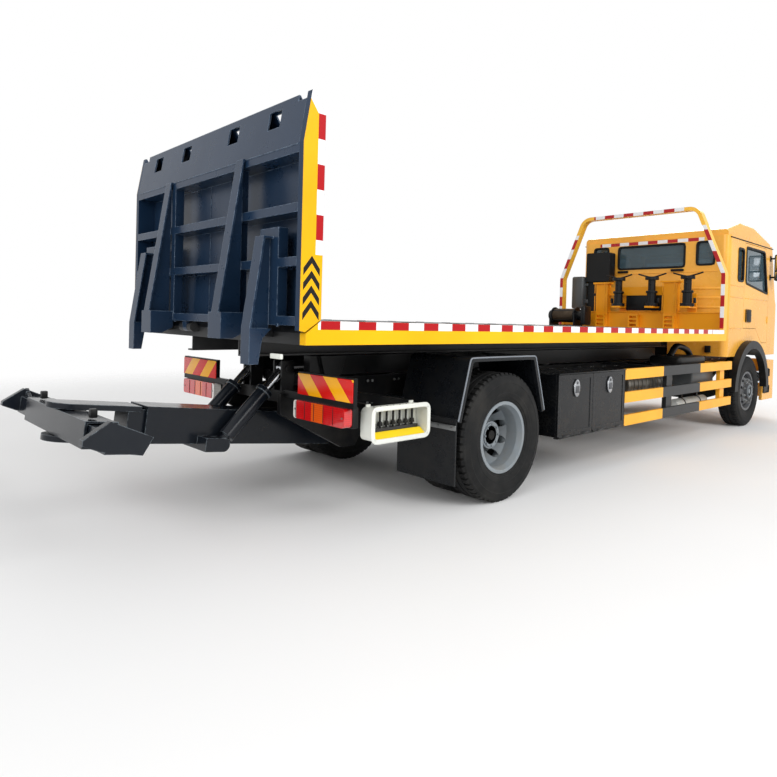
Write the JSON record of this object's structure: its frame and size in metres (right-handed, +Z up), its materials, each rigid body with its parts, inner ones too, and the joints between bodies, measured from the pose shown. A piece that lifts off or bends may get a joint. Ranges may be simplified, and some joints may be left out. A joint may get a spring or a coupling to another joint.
{
  "type": "flatbed tow truck",
  "caption": "Flatbed tow truck with a sliding tilting bed, upright tail ramp, rear wheel lift, roll hoop and a tilting cab.",
  "frame": {"origin": "on the ground under the middle of the truck's overall length, at its centre line", "axes": "+X forward, towards the cab; +Y to the truck's left; +Z up"},
  "size_m": [10.7908, 2.76, 3.13],
  "materials": {
    "axle_black": "dull black",
    "cab_amber": "amber paint",
    "cab_plastic": "dark grey moulded plastic",
    "control_white": "off-white paint",
    "deck_floor_grey": "worn tread plate",
    "deck_yellow": "bright yellow paint",
    "fender_black": "black moulded plastic",
    "frame_black": "satin black chassis paint, dusty",
    "glass_tint": "lightly tinted glass",
    "guard_paint": "yellow and black paint",
    "headboard_orange": "orange-yellow paint",
    "hoop_yellow": "yellow paint with warning tape",
    "lamp_clear": "clear lamp lens",
    "lamp_red": "lamp lens",
    "ramp_grey": "worn blue-grey paint on steel",
    "rod_chrome": "chromed piston rod",
    "seat_cloth": "dark woven cloth",
    "stand_steel": "worn steel",
    "tank_aluminium": "dull aluminium",
    "toolbox_black": "satin dark paint",
    "tyre_rubber": "worn tyre rubber",
    "underlift_grey": "dark grey paint, scuffed",
    "wheel_grey": "grey painted steel wheel, dusty",
    "winch_grey": "dark paint"
  },
  "bodies": {
    "chassis": {"chassis_frame": "frame_black", "front_axle": "axle_black", "rear_axle": "axle_black", "engine_and_gearbox": "axle_black", "fuel_tank": "tank_aluminium", "silencer": "stand_steel", "toolbox": "toolbox_black", "side_guards": "guard_paint", "rear_fenders": "fender_black", "tail_bar": "frame_black", "tail_lamps": "lamp_red", "control_box": "control_white", "bumper": "cab_amber", "headlamps": "lamp_clear", "intake_stack": "cab_plastic"},
    "toolbox_door_rear": {"toolbox_door_rear": "toolbox_black"},
    "toolbox_door_front": {"toolbox_door_front": "toolbox_black"},
    "wheel_rear_right": {"rear_tyres_right": "tyre_rubber", "rear_rims_right": "wheel_grey"},
    "wheel_rear_left": {"rear_tyres_left": "tyre_rubber", "rear_rims_left": "wheel_grey"},
    "knuckle_right": {"knuckle_right": "axle_black"},
    "knuckle_left": {"knuckle_left": "axle_black"},
    "wheel_front_right": {"front_tyre_right": "tyre_rubber", "front_rim_right": "wheel_grey"},
    "wheel_front_left": {"front_tyre_left": "tyre_rubber", "front_rim_left": "wheel_grey"},
    "cab": {"cab_shell": "cab_amber", "roof_cap": "cab_amber", "wheel_arches": "cab_plastic", "cab_glass": "glass_tint", "mirrors": "cab_plastic", "seats": "seat_cloth", "dashboard": "cab_plastic"},
    "door_right": {"door_right": "cab_amber"},
    "door_left": {"door_left": "cab_amber"},
    "tilt_frame": {"tilt_frame": "frame_black"},
    "tilt_barrels": {"tilt_barrels": "frame_black"},
    "tilt_rods": {"tilt_rods": "rod_chrome"},
    "deck": {"deck_platform": "deck_floor_grey", "side_rails": "deck_yellow", "headboard": "headboard_orange", "roll_hoop": "hoop_yellow", "winch": "winch_grey", "fork_stands": "stand_steel"},
    "ramp": {"ramp_frame": "ramp_grey", "ramp_sides": "deck_yellow"},
    "boom": {"boom": "underlift_grey"},
    "extension": {"extension": "underlift_grey"},
    "crossbar": {"crossbar": "underlift_grey"},
    "arm_right": {"arm_right": "underlift_grey"},
    "arm_left": {"arm_left": "underlift_grey"},
    "lift_barrels": {"lift_barrels": "underlift_grey"},
    "lift_rods": {"lift_rods": "rod_chrome"}
  },
  "joints": [
    {"name": "tilt", "type": "hinge", "parent": "chassis", "child": "tilt_frame", "pos_m": [-3.44455, 0, 0.955], "axis": [0, -1, 0], "range_deg": [0, 12]},
    {"name": "tilt_barrel_turn", "type": "hinge", "parent": "chassis", "child": "tilt_barrels", "pos_m": [-1.24455, 0, 0.8], "axis": [0, -1, 0], "range_deg": [0, 27.2]},
    {"name": "tilt_rod_slide", "type": "slide", "parent": "tilt_barrels", "child": "tilt_rods", "axis": [0.9799, 0, 0.1995], "range_m": [0, 0.2275]},
    {"name": "deck_slide", "type": "slide", "parent": "tilt_frame", "child": "deck", "axis": [-1, 0, 0], "range_m": [0, 2.9]},
    {"name": "ramp", "type": "hinge", "parent": "deck", "child": "ramp", "pos_m": [-4.27055, 0, 1.354], "axis": [0, -1, 0], "range_deg": [0, 100]},
    {"name": "lift", "type": "hinge", "parent": "chassis", "child": "boom", "pos_m": [-3.24455, 0, 0.53], "axis": [0, -1, 0], "range_deg": [-6, 14]},
    {"name": "lift_barrel_turn", "type": "hinge", "parent": "boom", "child": "lift_barrels", "pos_m": [-4.25955, 0, 0.532], "axis": [0, -1, 0], "range_deg": [-1.5, 0.7]},
    {"name": "lift_rod_slide", "type": "slide", "parent": "lift_barrels", "child": "lift_rods", "axis": [0.7051, 0, 0.7091], "range_m": [-0.077, 0.176]},
    {"name": "extension_slide", "type": "slide", "parent": "boom", "child": "extension", "axis": [-0.9936, 0, 0.1132], "range_m": [0, 0.9]},
    {"name": "crossbar_swivel", "type": "hinge", "parent": "extension", "child": "crossbar", "pos_m": [-5.21381, 0, 0.75437], "axis": [0.1132, 0, 0.9936], "range_deg": [-25, 25]},
    {"name": "arm_right_slide", "type": "slide", "parent": "crossbar", "child": "arm_right", "axis": [0, -1, 0], "range_m": [0, 0.3]},
    {"name": "arm_left_slide", "type": "slide", "parent": "crossbar", "child": "arm_left", "axis": [0, 1, 0], "range_m": [0, 0.3]},
    {"name": "steer_right", "type": "hinge", "parent": "chassis", "child": "knuckle_right", "pos_m": [3.92045, -0.87, 0.523], "axis": [0, 0, 1], "range_deg": [-35, 35]},
    {"name": "steer_left", "type": "hinge", "parent": "chassis", "child": "knuckle_left", "pos_m": [3.92045, 0.87, 0.523], "axis": [0, 0, 1], "range_deg": [-35, 35]},
    {"name": "roll_front_right", "type": "hinge", "parent": "knuckle_right", "child": "wheel_front_right", "pos_m": [3.92045, -1.016, 0.523], "axis": [0, 1, 0], "continuous": true},
    {"name": "roll_front_left", "type": "hinge", "parent": "knuckle_left", "child": "wheel_front_left", "pos_m": [3.92045, 1.016, 0.523], "axis": [0, 1, 0], "continuous": true},
    {"name": "roll_rear_right", "type": "hinge", "parent": "chassis", "child": "wheel_rear_right", "pos_m": [-2.29455, -0.97, 0.523], "axis": [0, 1, 0], "continuous": true},
    {"name": "roll_rear_left", "type": "hinge", "parent": "chassis", "child": "wheel_rear_left", "pos_m": [-2.29455, 0.97, 0.523], "axis": [0, 1, 0], "continuous": true},
    {"name": "cab_tilt", "type": "hinge", "parent": "chassis", "child": "cab", "pos_m": [5.26545, 0, 1], "axis": [0, 1, 0], "range_deg": [0, 60]},
    {"name": "door_right_turn", "type": "hinge", "parent": "cab", "child": "door_right", "pos_m": [4.80945, -1.119, 1.56], "axis": [0, 0, 1], "range_deg": [0, 65]},
    {"name": "door_left_turn", "type": "hinge", "parent": "cab", "child": "door_left", "pos_m": [4.80945, 1.119, 1.56], "axis": [0, 0, -1], "range_deg": [0, 65]},
    {"name": "toolbox_door_rear_turn", "type": "hinge", "parent": "chassis", "child": "toolbox_door_rear", "pos_m": [-1.17455, -1.24, 0.428], "axis": [1, 0, 0], "range_deg": [0, 90]},
    {"name": "toolbox_door_front_turn", "type": "hinge", "parent": "chassis", "child": "toolbox_door_front", "pos_m": [-0.53455, -1.24, 0.428], "axis": [1, 0, 0], "range_deg": [0, 90]}
  ],
  "couplings": [
    {"joint": "tilt_barrel_turn", "follows": "tilt", "ratio": 2.2519},
    {"joint": "tilt_rod_slide", "follows": "tilt", "m_per_rad": 1.0782},
    {"joint": "lift_barrel_turn", "follows": "lift", "ratio": -0.1016},
    {"joint": "lift_rod_slide", "follows": "lift", "m_per_rad": 0.7155},
    {"joint": "steer_left", "follows": "steer_right", "ratio": 1}
  ]
}
